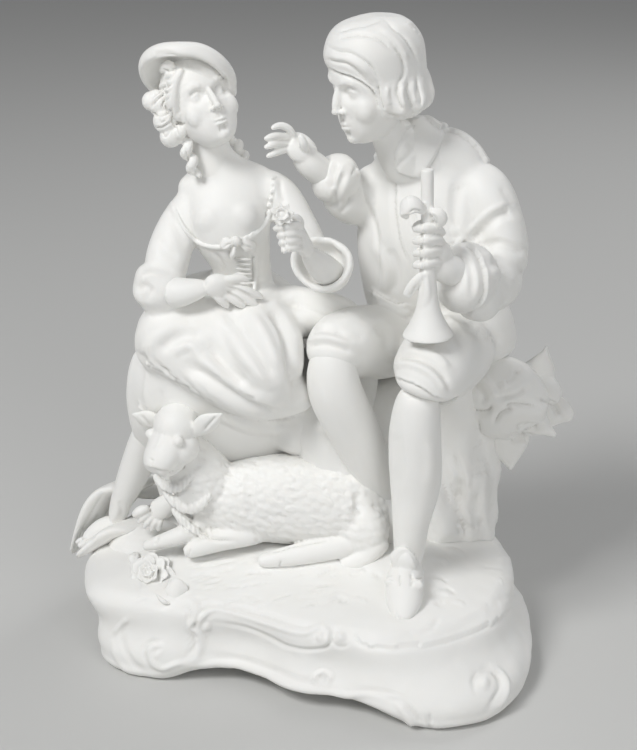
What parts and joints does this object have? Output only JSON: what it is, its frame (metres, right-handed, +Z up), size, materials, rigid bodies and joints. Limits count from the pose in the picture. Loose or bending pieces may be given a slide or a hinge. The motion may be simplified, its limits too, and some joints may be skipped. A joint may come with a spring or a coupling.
{
  "type": "porcelain figure group",
  "caption": "Bisque porcelain group of a seated shepherdess and shepherd with a pipe, a lamb at their feet and a tied cloth bundle, on a scrolled base with feet.",
  "frame": {"origin": "centre of the footprint on the ground, under the middle of the bounding box", "axes": "+Z up, the front of the group faces -Y, +X to the shepherd's side"},
  "size_m": [0.1638, 0.1186, 0.207],
  "materials": {
    "bisque_porcelain": "white unglazed bisque porcelain, matte and slightly granular"
  },
  "bodies": {
    "root": {"figure_group": "bisque_porcelain"}
  },
  "joints": []
}
